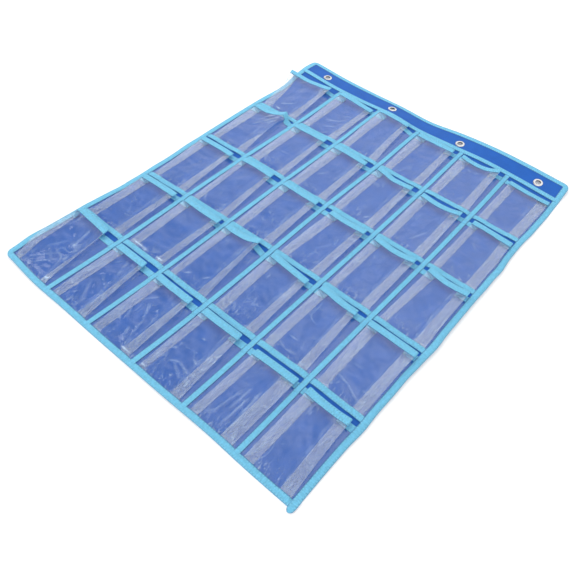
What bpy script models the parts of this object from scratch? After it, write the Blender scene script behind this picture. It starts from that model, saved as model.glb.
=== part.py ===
"""Hanging phone organizer: a cloth sheet with five rows of clear pleated pockets.

Metres. The sheet lies on its back as for packing: +X runs along the rows, +Y to the
header that hangs at the top, and +Z out of the front. The origin is on the surface
that the sheet lies on, under the middle of its outline.
"""
import math

import bmesh
import bpy

# Layout of the sheet
ROWS = 5
COLUMNS = 6
ROW_PITCH = 0.163
COLUMN_PITCH = 0.1087
SIDE_TRIM = 0.0011  # that each end column is narrower than the pitch
HEADER_HEIGHT = 0.050  # from the middle of the header tape to the top edge
CORNER_RADIUS = 0.0125

# Cloth, tape and film
FABRIC_THICKNESS = 0.0008
TAPE_THICKNESS = 0.0004
FILM_THICKNESS = 0.0003
SEWN_GAP = 0.0003  # left between pieces that are sewn or pressed together

# Tapes and bindings
EDGE_BINDING_WIDTH = 0.0115
ROW_TAPE_WIDTH = 0.0115
COLUMN_TAPE_WIDTH = 0.0105
MOUTH_BINDING_WIDTH = 0.0115
TAPE_RAMP = 0.0025  # run in which a tape climbs over what it crosses
TUCK = 0.0065  # that the pockets and tapes run in under the edge binding

# Pockets
SEAM_MARGIN = 0.0055  # from a seam's tape to the pocket's outer fold
PLEAT_DEPTH = 0.0185
MOUTH_DROP = 0.012  # from the tape above to the top of the mouth
MOUTH_DEPTH = 0.0080  # from the sheet to the underside of the open mouth
BELLY_RUN = 0.032  # from the bottom seam to the pocket's full depth
BELLY_SHARE = 0.45  # of that run, where the film is at BELLY_LIFT_SHARE
BELLY_LIFT_SHARE = 0.75
FOLD_CLEARANCE = 0.0006  # from a pleat's inner fold to the film that steps down past it
STEP_RUN = 0.0016

# Grommets
GROMMETS = 4
GROMMET_MARGIN = 0.049  # from the side edge to the first grommet's middle
BORE_RADIUS = 0.0052
FLANGE_RADIUS = 0.0106
LIP_RADIUS = 0.0070
WASHER_RADIUS = 0.0098
METAL_THICKNESS = 0.0003
DOME_HEIGHT = 0.0009
CROWN_SHARE = 0.45  # of the way from the barrel to the flange's edge, the dome's top
SHOULDER_SHARE = 0.5  # of the dome's height, at which the flange turns into the barrel
GROMMET_SIDES = 20
CORNER_STEPS = 5

# Colours, from the photograph
FABRIC_COLOUR = (0.045, 0.13, 0.56, 1)
TAPE_COLOUR = (0.16, 0.65, 0.87, 1)
FILM_COLOUR = (0.62, 0.68, 0.86, 0.35)
METAL_COLOUR = (0.72, 0.73, 0.75, 1)

# Outline, levels and seams that follow from the sizes above
SHEET_WIDTH = COLUMNS * COLUMN_PITCH - 2 * SIDE_TRIM
SHEET_HEIGHT = ROWS * ROW_PITCH + HEADER_HEIGHT
HALF_WIDTH = SHEET_WIDTH / 2
BOTTOM = -SHEET_HEIGHT / 2
TOP = SHEET_HEIGHT / 2
EDGE_INSET = TAPE_THICKNESS + SEWN_GAP  # from the outline to the cloth inside the binding
PANEL_FLOOR = TAPE_THICKNESS + SEWN_GAP
PANEL_TOP = PANEL_FLOOR + FABRIC_THICKNESS
BAND_FLOOR = PANEL_TOP + SEWN_GAP
BAND_TOP = BAND_FLOOR + FABRIC_THICKNESS
BARE_LEVEL = PANEL_TOP + SEWN_GAP  # underside of a tape sewn straight to the sheet
HEM_PITCH = FILM_THICKNESS + SEWN_GAP
HEM_LEVEL = PANEL_TOP + SEWN_GAP + FILM_THICKNESS / 2
BOUND_HALF = FILM_THICKNESS / 2 + SEWN_GAP + TAPE_THICKNESS
MOUTH_PITCH = 2 * BOUND_HALF + SEWN_GAP
MOUTH_LEVEL = PANEL_TOP + SEWN_GAP + BOUND_HALF
FRONT_LEVEL = PANEL_TOP + MOUTH_DEPTH + BOUND_HALF
TUCK_INSET = EDGE_BINDING_WIDTH - TUCK
LEAF_FLOOR = MOUTH_LEVEL + BOUND_HALF + SEWN_GAP  # the binding's front leaf lies on it all
HEADER_LINE = BOTTOM + ROWS * ROW_PITCH
GROMMET_LINE = (HEADER_LINE + ROW_TAPE_WIDTH / 2 + TOP - EDGE_BINDING_WIDTH) / 2
BARREL_RADIUS = BORE_RADIUS + METAL_THICKNESS
FABRIC_HOLE_RADIUS = BARREL_RADIUS + SEWN_GAP
LIP_FLOOR = PANEL_FLOOR - SEWN_GAP - METAL_THICKNESS
GROMMET_PITCH = (SHEET_WIDTH - 2 * GROMMET_MARGIN) / (GROMMETS - 1)


def material(name, colour, roughness, metallic):
    """A plain Principled material."""
    made = bpy.data.materials.new(name)
    made.use_nodes = True
    shader = made.node_tree.nodes["Principled BSDF"]
    shader.inputs["Base Color"].default_value = colour
    shader.inputs["Roughness"].default_value = roughness
    shader.inputs["Metallic"].default_value = metallic
    shader.inputs["Alpha"].default_value = colour[3]
    return made


def finished(name, bm, paint):
    """Turns a bmesh into a named object with its own material."""
    bmesh.ops.recalc_face_normals(bm, faces=bm.faces)
    mesh = bpy.data.meshes.new(name)
    bm.to_mesh(mesh)
    bm.free()
    made = bpy.data.objects.new(name, mesh)
    made.data.materials.append(material(name, *paint))
    bpy.context.scene.collection.objects.link(made)
    return made


def skin(name, rings, paint, closed=False):
    """Joins rings of points into a solid, capped at both ends or joined end to end."""
    bm = bmesh.new()
    loops = [[bm.verts.new(point) for point in ring] for ring in rings]
    pairs = list(zip(loops, loops[1:]))
    if closed:
        pairs.append((loops[-1], loops[0]))
    else:
        bm.faces.new(loops[0])
        bm.faces.new(reversed(loops[-1]))
    for ring, following in pairs:
        for i in range(len(ring)):
            j = (i + 1) % len(ring)
            bm.faces.new((ring[i], ring[j], following[j], following[i]))
    return finished(name, bm, paint)


def shell(name, outer, inner, paint):
    """Closes two grids of points into a thin sheet.

    Both sides are split along the same diagonals, so a twisted cell keeps its thickness.
    """
    bm = bmesh.new()
    front = [[bm.verts.new(point) for point in row] for row in outer]
    back = [[bm.verts.new(point) for point in row] for row in inner]
    for grid in (front, back):
        for row, following in zip(grid, grid[1:]):
            for i in range(len(row) - 1):
                bm.faces.new((row[i], row[i + 1], following[i]))
                bm.faces.new((row[i + 1], following[i + 1], following[i]))
    borders = [(front[0], back[0]), (front[-1], back[-1])]
    borders += [([row[end] for row in front], [row[end] for row in back]) for end in (0, -1)]
    for near, far in borders:
        for i in range(len(near) - 1):
            bm.faces.new((near[i], near[i + 1], far[i + 1], far[i]))
    return finished(name, bm, paint)


def offset_line(points, distance):
    """Moves a line in the X-Z plane sideways, with mitred corners."""
    moved = []
    for i, (x, z) in enumerate(points):
        normals = []
        for a, b in ((i - 1, i), (i, i + 1)):
            if a >= 0 and b < len(points):
                run, rise = points[b][0] - points[a][0], points[b][1] - points[a][1]
                length = math.hypot(run, rise)
                normals.append((-rise / length, run / length))
        across = sum(n[0] for n in normals) / len(normals)
        up = sum(n[1] for n in normals) / len(normals)
        stretch = distance / (across**2 + up**2)
        moved.append((x + across * stretch, z + up * stretch))
    return moved


def between(low, high, share):
    return low + (high - low) * share


def pocket_folds():
    """X of each pocket's two outer folds, from the left column to the right."""
    folds = []
    for column in range(COLUMNS):
        left = (column - COLUMNS / 2) * COLUMN_PITCH + COLUMN_TAPE_WIDTH / 2
        right = left + COLUMN_PITCH - COLUMN_TAPE_WIDTH
        if column == 0:
            left = EDGE_BINDING_WIDTH - HALF_WIDTH
        if column == COLUMNS - 1:
            right = HALF_WIDTH - EDGE_BINDING_WIDTH
        folds.append((left + SEAM_MARGIN, right - SEAM_MARGIN))
    return folds


def pleated_line(lift_share, rise_share, stepped):
    """Middle line of the pleated film across the sheet, in X and Z.

    lift_share opens the pockets, rise_share lifts the film to the level of the bound
    mouth, and a stepped line also comes down to the sheet between the pleats.
    """
    base = between(HEM_LEVEL, MOUTH_LEVEL, rise_share)
    pitch = between(HEM_PITCH, MOUTH_PITCH, rise_share)
    front = between(HEM_LEVEL + 2 * HEM_PITCH, FRONT_LEVEL, lift_share)
    middle = front if lift_share else base
    end = HALF_WIDTH - TUCK_INSET
    line = [(-end, base)]
    for left, right in pocket_folds():
        half = [(left + PLEAT_DEPTH, base), (left + PLEAT_DEPTH, base + pitch)]
        half += [(left, front - pitch), (left, front)]
        if stepped:
            step = left + PLEAT_DEPTH + FOLD_CLEARANCE
            half += [(step, front), (step + STEP_RUN, middle)]
        line += half
        line += [(left + right - x, z) for x, z in reversed(half)]
    return line + [(end, base)]


def row_places(row):
    """Y of a row's places: film's lower edge, bottom seam, and mouth, for row 1 at the top."""
    hem = BOTTOM + (ROWS - row) * ROW_PITCH
    mouth = hem + ROW_PITCH - ROW_TAPE_WIDTH / 2 - MOUTH_DROP
    if row == ROWS:
        return BOTTOM + TUCK_INSET, BOTTOM + EDGE_BINDING_WIDTH, mouth
    return hem - ROW_TAPE_WIDTH / 2 + SEWN_GAP, hem + ROW_TAPE_WIDTH / 2, mouth


def pocket_strip(row, paint):
    """One row's clear film, pleated at both sides of each pocket and sewn flat at its hem."""
    edge, seam, mouth = row_places(row)
    film_top = mouth - TAPE_THICKNESS - SEWN_GAP
    stations = [
        (edge, 0),
        (seam, 0),
        (seam + BELLY_RUN * BELLY_SHARE, BELLY_LIFT_SHARE),
        (seam + BELLY_RUN, 1),
        (film_top, 1),
    ]
    outer, inner = [], []
    for y, lift_share in stations:
        rise_share = max(0, (y - seam) / (film_top - seam))
        line = pleated_line(lift_share, rise_share, stepped=True)
        for grid, side in ((outer, 1), (inner, -1)):
            moved = offset_line(line, side * FILM_THICKNESS / 2)
            grid.append([(x, y, z) for x, z in moved])
    return shell(f"pocket_strip_{row}", outer, inner, paint)


def mouth_binding(row, paint):
    """The tape folded over the film's top edge, which follows every pleat."""
    mouth = row_places(row)[2]
    low, fold = mouth - MOUTH_BINDING_WIDTH, mouth - TAPE_THICKNESS
    line = pleated_line(1, 1, stepped=False)
    slot = BOUND_HALF - TAPE_THICKNESS
    section = [(BOUND_HALF, low), (BOUND_HALF, mouth), (-BOUND_HALF, mouth)]
    section += [(-BOUND_HALF, low), (-slot, low), (-slot, fold), (slot, fold), (slot, low)]
    lines = {away: offset_line(line, away) for away, _ in section}
    rings = []
    for i in range(len(line)):
        rings.append([(lines[away][i][0], y, lines[away][i][1]) for away, y in section])
    return skin(f"mouth_binding_{row}", rings, paint)


def row_tape(row, paint):
    """The flat tape over a row's bottom seam, which climbs over each stack of pleats."""
    middle = BOTTOM + (ROWS - row) * ROW_PITCH
    flat = HEM_LEVEL + FILM_THICKNESS / 2 + SEWN_GAP
    raised = flat + 2 * HEM_PITCH
    line = [(TUCK_INSET - HALF_WIDTH, flat)]
    for left, right in pocket_folds():
        start, end = left - FOLD_CLEARANCE, left + PLEAT_DEPTH + FOLD_CLEARANCE
        half = [(start - TAPE_RAMP, flat), (start, raised)]
        half += [(end, raised), (end + TAPE_RAMP, flat)]
        line += half
        line += [(left + right - x, z) for x, z in reversed(half)]
    line.append((HALF_WIDTH - TUCK_INSET, flat))
    low, high = middle - ROW_TAPE_WIDTH / 2, middle + ROW_TAPE_WIDTH / 2
    rings = []
    for x, z in line:
        top = z + TAPE_THICKNESS
        rings.append([(x, low, z), (x, high, z), (x, high, top), (x, low, top)])
    return skin(f"row_tape_{row}", rings, paint)


def header_tape(paint):
    """The flat tape that covers the header band's lower edge and the column tapes' ends."""
    low, high = HEADER_LINE - ROW_TAPE_WIDTH / 2, HEADER_LINE + ROW_TAPE_WIDTH / 2
    floor, top = BAND_TOP + SEWN_GAP, BAND_TOP + SEWN_GAP + TAPE_THICKNESS
    end = HALF_WIDTH - TUCK_INSET
    rings = []
    for x in (-end, end):
        rings.append([(x, low, floor), (x, high, floor), (x, high, top), (x, low, top)])
    return skin("header_tape", rings, paint)


def column_tape(number, paint):
    """The tape down a seam between two columns, over film, mouths and row tapes."""
    film_low = HEM_LEVEL + FILM_THICKNESS / 2 + SEWN_GAP
    film_high = MOUTH_LEVEL + FILM_THICKNESS / 2 + SEWN_GAP
    over_tape = film_low + TAPE_THICKNESS + SEWN_GAP
    line = [(BOTTOM + TUCK_INSET, film_low)]
    for row in range(ROWS, 0, -1):
        _, seam, mouth = row_places(row)
        low = mouth - MOUTH_BINDING_WIDTH - SEWN_GAP
        if row < ROWS:
            tape_foot = seam - ROW_TAPE_WIDTH - SEWN_GAP
            line += [(tape_foot - TAPE_RAMP, BARE_LEVEL), (tape_foot, over_tape)]
            line += [(seam + SEWN_GAP, over_tape), (seam + SEWN_GAP + TAPE_RAMP, film_low)]
        line += [(low - TAPE_RAMP, film_high), (low, LEAF_FLOOR)]
        line += [(mouth + SEWN_GAP, LEAF_FLOOR)]
        line += [(mouth + SEWN_GAP + TAPE_RAMP, BARE_LEVEL)]
    line.append((HEADER_LINE - SEWN_GAP, BARE_LEVEL))
    middle = (number - COLUMNS / 2) * COLUMN_PITCH
    left, right = middle - COLUMN_TAPE_WIDTH / 2, middle + COLUMN_TAPE_WIDTH / 2
    rings = []
    for y, z in line:
        top = z + TAPE_THICKNESS
        rings.append([(left, y, z), (right, y, z), (right, y, top), (left, y, top)])
    return skin(f"column_tape_{number}", rings, paint)


def rounded_outline(inset, low=None):
    """The sheet's outline moved inward, counter-clockwise, or its part above low."""
    radius = CORNER_RADIUS - inset
    across, up, down = HALF_WIDTH - CORNER_RADIUS, TOP - CORNER_RADIUS, BOTTOM + CORNER_RADIUS
    points = []
    for start, x, y in ((0, across, up), (1, -across, up), (2, -across, down), (3, across, down)):
        if low is not None and start > 1:
            points.append((math.copysign(HALF_WIDTH - inset, x), low))
            continue
        for step in range(CORNER_STEPS + 1):
            angle = (start + step / CORNER_STEPS) * math.pi / 2
            points.append((x + radius * math.cos(angle), y + radius * math.sin(angle)))
    return points


def edge_binding(paint):
    """The tape folded round the sheet's edge, one closed ring."""
    roof = LEAF_FLOOR + TAPE_THICKNESS
    section = [(0, 0), (0, roof), (EDGE_BINDING_WIDTH, roof), (EDGE_BINDING_WIDTH, LEAF_FLOOR)]
    section += [(TAPE_THICKNESS, LEAF_FLOOR), (TAPE_THICKNESS, TAPE_THICKNESS)]
    section += [(EDGE_BINDING_WIDTH, TAPE_THICKNESS), (EDGE_BINDING_WIDTH, 0)]
    outlines = {inset: rounded_outline(inset) for inset, _ in section}
    rings = []
    for i in range(len(outlines[0])):
        rings.append([(*outlines[inset][i], z) for inset, z in section])
    return skin("edge_binding", rings, paint, closed=True)


def grommet_places():
    return [(GROMMET_MARGIN - HALF_WIDTH + i * GROMMET_PITCH, GROMMET_LINE) for i in range(GROMMETS)]


def cloth_plate(name, outline, floor, paint):
    """Flat cloth of one outline with a hole for each grommet."""
    loops = [outline]
    for x, y in grommet_places():
        turn = 2 * math.pi / GROMMET_SIDES
        circle = [(math.cos(i * turn), math.sin(i * turn)) for i in range(GROMMET_SIDES)]
        hole = FABRIC_HOLE_RADIUS
        loops.append([(x + hole * across, y + hole * up) for across, up in circle])
    bm = bmesh.new()
    edges = []
    for loop in loops:
        verts = [bm.verts.new((x, y, floor)) for x, y in loop]
        edges += [bm.edges.new((verts[i - 1], verts[i])) for i in range(len(verts))]
    bmesh.ops.triangle_fill(bm, edges=edges, use_beauty=True)
    raised = bmesh.ops.extrude_face_region(bm, geom=bm.faces[:])["geom"]
    top = [item for item in raised if isinstance(item, bmesh.types.BMVert)]
    bmesh.ops.translate(bm, verts=top, vec=(0, 0, FABRIC_THICKNESS))
    return finished(name, bm, paint)


def turned(name, section, x, y, paint):
    """A ring turned from a closed section of radii and heights."""
    rings = []
    for i in range(GROMMET_SIDES):
        angle = 2 * math.pi * i / GROMMET_SIDES
        across, up = math.cos(angle), math.sin(angle)
        rings.append([(radius * across, radius * up, z) for radius, z in section])
    made = skin(name, rings, paint, closed=True)
    made.location = (x, y, 0)
    made.data.shade_smooth()
    made.data.set_sharp_from_angle(angle=math.radians(40))
    return made


def eyelet(number, x, y, paint):
    """The grommet's front half: a domed flange, its barrel, and the lip rolled out behind."""
    seat = BAND_TOP + SEWN_GAP
    crown_radius = between(BARREL_RADIUS, FLANGE_RADIUS, CROWN_SHARE)
    shoulder = seat + DOME_HEIGHT * SHOULDER_SHARE
    crown = seat + DOME_HEIGHT
    lip_top = LIP_FLOOR + METAL_THICKNESS
    section = [(BORE_RADIUS, LIP_FLOOR), (BORE_RADIUS, shoulder + METAL_THICKNESS)]
    section += [(crown_radius, crown + METAL_THICKNESS)]
    section += [(FLANGE_RADIUS, seat + METAL_THICKNESS), (FLANGE_RADIUS, seat)]
    section += [(crown_radius, crown), (BARREL_RADIUS, shoulder)]
    section += [(BARREL_RADIUS, lip_top), (LIP_RADIUS, lip_top), (LIP_RADIUS, LIP_FLOOR)]
    return turned(f"grommet_{number}_eyelet", section, x, y, paint)


def washer(number, x, y, paint):
    """The grommet's back half: the flat ring that lies round the rolled lip."""
    eye = LIP_RADIUS + SEWN_GAP
    top = LIP_FLOOR + METAL_THICKNESS
    section = [(eye, LIP_FLOOR), (WASHER_RADIUS, LIP_FLOOR), (WASHER_RADIUS, top), (eye, top)]
    return turned(f"grommet_{number}_washer", section, x, y, paint)


def build():
    for old in list(bpy.data.objects):
        bpy.data.objects.remove(old)
    cloth, tape = (FABRIC_COLOUR, 0.9, 0), (TAPE_COLOUR, 0.8, 0)
    film, metal = (FILM_COLOUR, 0.12, 0), (METAL_COLOUR, 0.25, 1)
    cloth_plate("back_panel", rounded_outline(EDGE_INSET), PANEL_FLOOR, cloth)
    band = rounded_outline(EDGE_INSET, low=HEADER_LINE)
    cloth_plate("header_band", band, BAND_FLOOR, cloth)
    edge_binding(tape)
    header_tape(tape)
    for row in range(1, ROWS + 1):
        pocket_strip(row, film)
        mouth_binding(row, tape)
        if row < ROWS:
            row_tape(row, tape)
    for number in range(1, COLUMNS):
        column_tape(number, tape)
    for number, (x, y) in enumerate(grommet_places(), start=1):
        eyelet(number, x, y, metal)
        washer(number, x, y, metal)


build()
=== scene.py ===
"""Looks of the hanging phone organizer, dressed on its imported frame.

Each soft piece is first worked out flat, in the frame's X and Y with a height above the
sheet's face, and lie() then lays it on the folds in which the sheet lies on the floor.
"""

import functools
import math

import bpy
import numpy as np
from mathutils import Matrix, Vector


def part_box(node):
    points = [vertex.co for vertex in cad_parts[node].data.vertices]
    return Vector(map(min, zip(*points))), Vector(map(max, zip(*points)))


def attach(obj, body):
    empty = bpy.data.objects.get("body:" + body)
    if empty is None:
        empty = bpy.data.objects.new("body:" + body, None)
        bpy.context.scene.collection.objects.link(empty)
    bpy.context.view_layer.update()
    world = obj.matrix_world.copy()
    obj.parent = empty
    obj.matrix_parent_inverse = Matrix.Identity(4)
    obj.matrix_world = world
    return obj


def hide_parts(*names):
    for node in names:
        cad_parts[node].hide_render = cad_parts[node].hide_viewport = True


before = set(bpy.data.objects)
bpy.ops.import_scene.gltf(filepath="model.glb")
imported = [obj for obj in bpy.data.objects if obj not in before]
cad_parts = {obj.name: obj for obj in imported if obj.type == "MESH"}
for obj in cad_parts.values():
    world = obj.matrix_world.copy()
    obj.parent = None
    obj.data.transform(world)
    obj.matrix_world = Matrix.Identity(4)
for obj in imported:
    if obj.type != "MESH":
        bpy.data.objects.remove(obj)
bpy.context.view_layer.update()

MM = 0.001

# The sheet, read from the frame
sheet_low, sheet_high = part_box("edge_binding")
header_low, header_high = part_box("header_tape")
HALF_WIDTH = (sheet_high.x - sheet_low.x) / 2
BOTTOM, TOP = sheet_low.y, sheet_high.y
HEADER_LINE = (header_low.y + header_high.y) / 2
ROWS, COLUMNS = 5, 6
EDGE_WIDTH = 11.5 * MM
TAPE_WIDTH = 11.5 * MM
CORNER_RADIUS = 12.5 * MM
TUCK = 6.5 * MM  # that the pockets run in under the edge binding
CLOTH_INSET = 1.2 * MM  # of the cloth's edge inside the edge binding's fold
CLOTH_SPACING = 3.2 * MM

# Heights above the floor, and thicknesses
BACK_FLOOR = 0.4 * MM  # of the cloth's back
CLOTH = 0.7 * MM
FACE = BACK_FLOOR + CLOTH
TAPE = 0.45 * MM
BINDING_HALF = 0.55 * MM  # half of a bound mouth
# Heights of the tapes above the sheet's face, and what raises them
ROW_TAPE_BASE = 0.65 * MM
COLUMN_TAPE_BASE = 0.6 * MM
HEADER_TAPE_BASE = CLOTH + 0.5 * MM
EDGE_TAPE_BASE = 0.55 * MM
STACK_RISE = 0.95 * MM  # over a stack of pleats
MOUTH_RISE_OVER = 1.0 * MM  # over a bound mouth
STACK_RAMP = 3 * MM
CROSSING_RAMP = 2.5 * MM
TAPE_WANDER = 0.5 * MM  # of its line to either side
# A tape from its edge inwards: place in mm, share of its thickness, and how dark its painted shade is
# there
TAPE_SECTION = ((0, 0, 1), (0.2, 0.8, 1), (0.8, 1, 0.6), (1.4, 0.75, 0), (2.2, 1.1, 0))
TAPE_MIDDLE = 1.25

# How the sheet lies: heights in mm over its width, for each height up the sheet
FOLD_ROWS = [0, 80, 163, 326, 489, 652, 740, 815, 865]
FOLD_HEIGHTS = np.array([
    [3, 2, 1, 0, 1, 2, 1, 0, 0],
    [6, 2, 0, 0, 0, 1, 0, 0, 1],
    [5, 1, 0, 0, 0, 0, 0, 0, 2],
    [4, 1, 0, 0, 0, 0, 0, 0, 4],
    [3, 0, 0, 0, 0, 0, 1, 0, 4],
    [4, 1, 0, 1, 0, 0, 4, 1, 2],
    [5.5, 4, 2, 4, 1, 2, 4, 1, 1],
    [11, 8, 6, 8, 3.5, 4.5, 6, 3, 0],
    [11, 8, 5, 4, 2, 8, 12.5, 11.5, 6.5],
])
# Its drift in its own plane at the same places, in mm to the right and to the top
DRIFT_RIGHT = np.array([
    [-7.5, 3.5, 2.5, -2, -0.5, 2.5, 1, -1, 2.5],
    [-6, 4.5, 4, 0.5, 1, 3, 1, -1, 2],
    [-4, 4.5, 5, 2, 1.5, 2.5, 0, -1, 2.7],
    [1.5, 3, 2.5, 1, 0, 2, 1, 0, 5.7],
    [-5, 0.5, 2, 0, -2, 1.5, 2, 2, 5],
    [-6.3, 2.5, 3.5, 1.5, 0.5, 1.5, 1.5, 1, 2.2],
    [-2.7, 4, 4.5, 0.5, -1, 0.5, -0.5, -0.5, 4.7],
    [-11.6, 5, 6.5, 3.5, 0, 0, -1.5, -2.5, 3],
    [-11.1, 5, 6, 4, 1, -2, -3, -5, 1.5],
])
DRIFT_UP = np.array([
    [10.5, 4, 4, 3, 2.5, 2, 3, 1, 0.5],
    [6.5, 4.5, 4.5, 3.5, 2.5, 1.5, 4, 3.5, 2],
    [6, 6, 6.5, 5.5, 4.5, 4, 5, 5, 2],
    [-6, -0.7, 3, 4.5, 6, 5, 5, 3, -2],
    [-1.5, 2.7, 4, 1, 1, 0.6, 0.5, 1, -5],
    [-4, 1, 3.5, 4.5, 5, 4.5, 2.5, 3, 0],
    [0.9, 0, 1.5, 2, 2, 0, 0.5, 0, -3],
    [4, -2, -1, -1, -3, -2.5, -1, -2, -6],
    [1.7, -4, -3, -2, -3.5, -1, -2, -3, -2.5],
])

# Bulges of the two side edges between the seams: place in mm from the top, and mm outwards
LEFT_BULGES = ((90, 1.5), (430, 1.2), (520, 1.2), (610, -1.6), (695, 1.2), (810, 2.6))
RIGHT_BULGES = ((180, 1.3), (300, 2.8), (350, 1.2), (520, 1.8), (600, -1.2), (715, 1.9))
BULGE_LENGTH = 24 * MM
BULGE_REACH = 75 * MM  # from the edge into the sheet
SLOPE_STEP = 1 * MM  # over which the slope of the folds is taken

# The film and its pleats
SEAM_MARGIN = 6.0 * MM  # from a seam to the open fold
LAST_MARGIN = 2.0 * MM  # at the right side of the last column
PLEAT_DEPTH = 18.5 * MM
PLEAT_SLACK = 1.02  # its depth where its open fold has shifted, as a share of that
PLEAT_FOLLOWS = 0.7  # how far a pleat's inner fold goes along when its open fold has swung
FILM_BASE = (0.3 * MM, 0.75 * MM)  # height of the film at the hem and at the bound mouth
FILM_PITCH = (0.45 * MM, 1.35 * MM)  # between its layers there
FOLD_TURN = (0.8, 1.6)  # mm that the open fold takes to turn there
INNER_TURN = 0.6 * MM
FLAT_POINTS = 12  # the points of a pleat up to its inner fold, which keep the seam's height
FRONT_POINTS = 44
FILM_ROWS = 56
FLOOR_RAMP = 5 * MM  # past the pleats, where the front may sink from their height to the cloth
HEM_RUN = 6 * MM  # above the bottom seam, where the front leaves the pleats' height
DENT_DEPTH = 0.055
RIDGE_LIMIT = 1.5 * MM
RIDGE_WIDTH = 1.5 * MM
HEM_FADE = 16 * MM  # of the crinkles above the bottom seam


class Pocket:
    """How one pocket has settled, in mm where it isn't a share."""

    lift = (10, 10.5, 10)  # of the open front at left, middle and right
    flap = 0  # rise of the right pleat's seam end
    inner = 0  # rise of its inner fold
    bulge = 0  # of the left fold below the mouth
    tucked_right = (0, 0)  # as tucked, for the right pleat
    opened = (0, 0)  # share to which the left and the right pleat have opened
    crumple = 0.85  # share to which the film is crumpled

    def __init__(self, rise, shift=(0, 0), tucked=(3, 4), **own):
        self.rise = rise  # of the mouth, from its left to its right fold
        self.shift = shift  # of the front's left and right folds at the mouth
        self.tucked = tucked  # of the left inner fold to its seam, at the bottom and at the mouth
        vars(self).update(own)


# By row and column
POCKETS = {
    (1, 1): Pocket((-4.7, -5.2, -6.5, -2.4, 2), (-27, -5), lift=(10, 10, 13), inner=5, crumple=0.9),
    (1, 2): Pocket((7.6, 6, 2.6, 0.6, -1), (0, 4), lift=(12, 11, 6)),
    (1, 3): Pocket((10.5, 11, 11.3, 11.6, 12), (0, -12), (3, 1), lift=(10.5, 11, 10), inner=11),
    (1, 4): Pocket((2, 0.5, 0.5, 0.5, 0), (0, 0), (3, 1)),
    (1, 5): Pocket((-2, -6, -7.5, -5, 5), (0, -3), (2, 0), lift=(10, 8, 13)),
    (1, 6): Pocket((-5, -5.5, -5.8, -4, -1), (3, 1), lift=(8, 7, 5)),
    (2, 1): Pocket((8, 6.5, 4.5, 9, 19), (0, -15), (6, 5.5), lift=(9, 10, 16), flap=8,
        opened=(0, 1), crumple=1.1),
    (2, 2): Pocket((7, 6, 5.7, 5.3, 4.8), (0, -5), (2, 5)),
    (2, 3): Pocket((4.4, 4.5, 4, 3, 2.3), (0, -4), (1, 1)),
    (2, 4): Pocket((10, 5, -1.5, -0.5, 2.4), (0, -2), (3, 5)),
    (2, 5): Pocket((0.5, -4.3, -6.4, -4.6, 3.2), (0, -2), (2, 4), crumple=1),
    (2, 6): Pocket((3, 2.4, 1.6, 1.3, 1.6), (3, 1), (4, 6), lift=(8, 8, 6)),
    (3, 1): Pocket((-0.5, -0.5, -0.5, -0.7, -2), (0, -4), (7, 6)),
    (3, 2): Pocket((5, 6, 6, 5.5, 5), (0, -10), (6, 14)),
    (3, 3): Pocket((8, 7.2, 6.2, 5.2, 4.2), (0, 0), (2, 5)),
    (3, 4): Pocket((2.4, 0, -0.3, 0.9, 2.9), (11, 1.5), (2, 0)),
    (3, 5): Pocket((5, 0.8, -1.7, -0.7, 4.2), (0, -1), (5, 4)),
    (3, 6): Pocket((6, 1.5, -1.2, 0.5, 4), (5, 0), (6, 2)),
    (4, 1): Pocket((1.5, 1.2, 0.5, -0.2, -1.2), (0, 1), (4, 7)),
    (4, 2): Pocket((6, 4.3, 3.2, 3.2, 4), (2, 5), (1, 6)),
    (4, 3): Pocket((6.5, 5, 4.5, 5, 11), (0, -10), (6, 6), lift=(9, 10, 16), inner=12, crumple=0.9),
    (4, 4): Pocket((6.5, 4, 1.8, 0, -1.8), (0, -2), (1, 5), crumple=0.9),
    (4, 5): Pocket((7, 5, 1.5, -0.5, -0.5), (0, -8), (3, 3), crumple=1),
    (4, 6): Pocket((-1.2, -0.3, 0.3), (-3, 1), (2, 2), crumple=1),
    (5, 1): Pocket((13, 13, 12, 11, 9), (-5, -16), (8, 0), tucked_right=(6, 8), lift=(12, 11, 10),
        opened=(0.9, 0), bulge=7, crumple=1.25),
    (5, 2): Pocket((2.5, 2.5, 2.2, 2, 2), (2, -15), (3, 3), crumple=1.4),
    (5, 3): Pocket((2.5, 1.5, 1.2, 1.3, 1.5), (0, -6), (3, 4), crumple=1.6),
    (5, 4): Pocket((4.5, 3.8, 3.5, 3.8, 4), (0, -8), (8, 8), crumple=1.5),
    (5, 5): Pocket((0.5, 0.7, 0.9, 1, 1.2), (5, 3), (4, 4), tucked_right=(-6, -6), lift=(8, 8, 8),
        crumple=1),
    (5, 6): Pocket((1.5, 0, -0.5, 0, 2), (2, -6), (1, 1), lift=(9, 9, 9), crumple=1.1),
}
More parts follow.
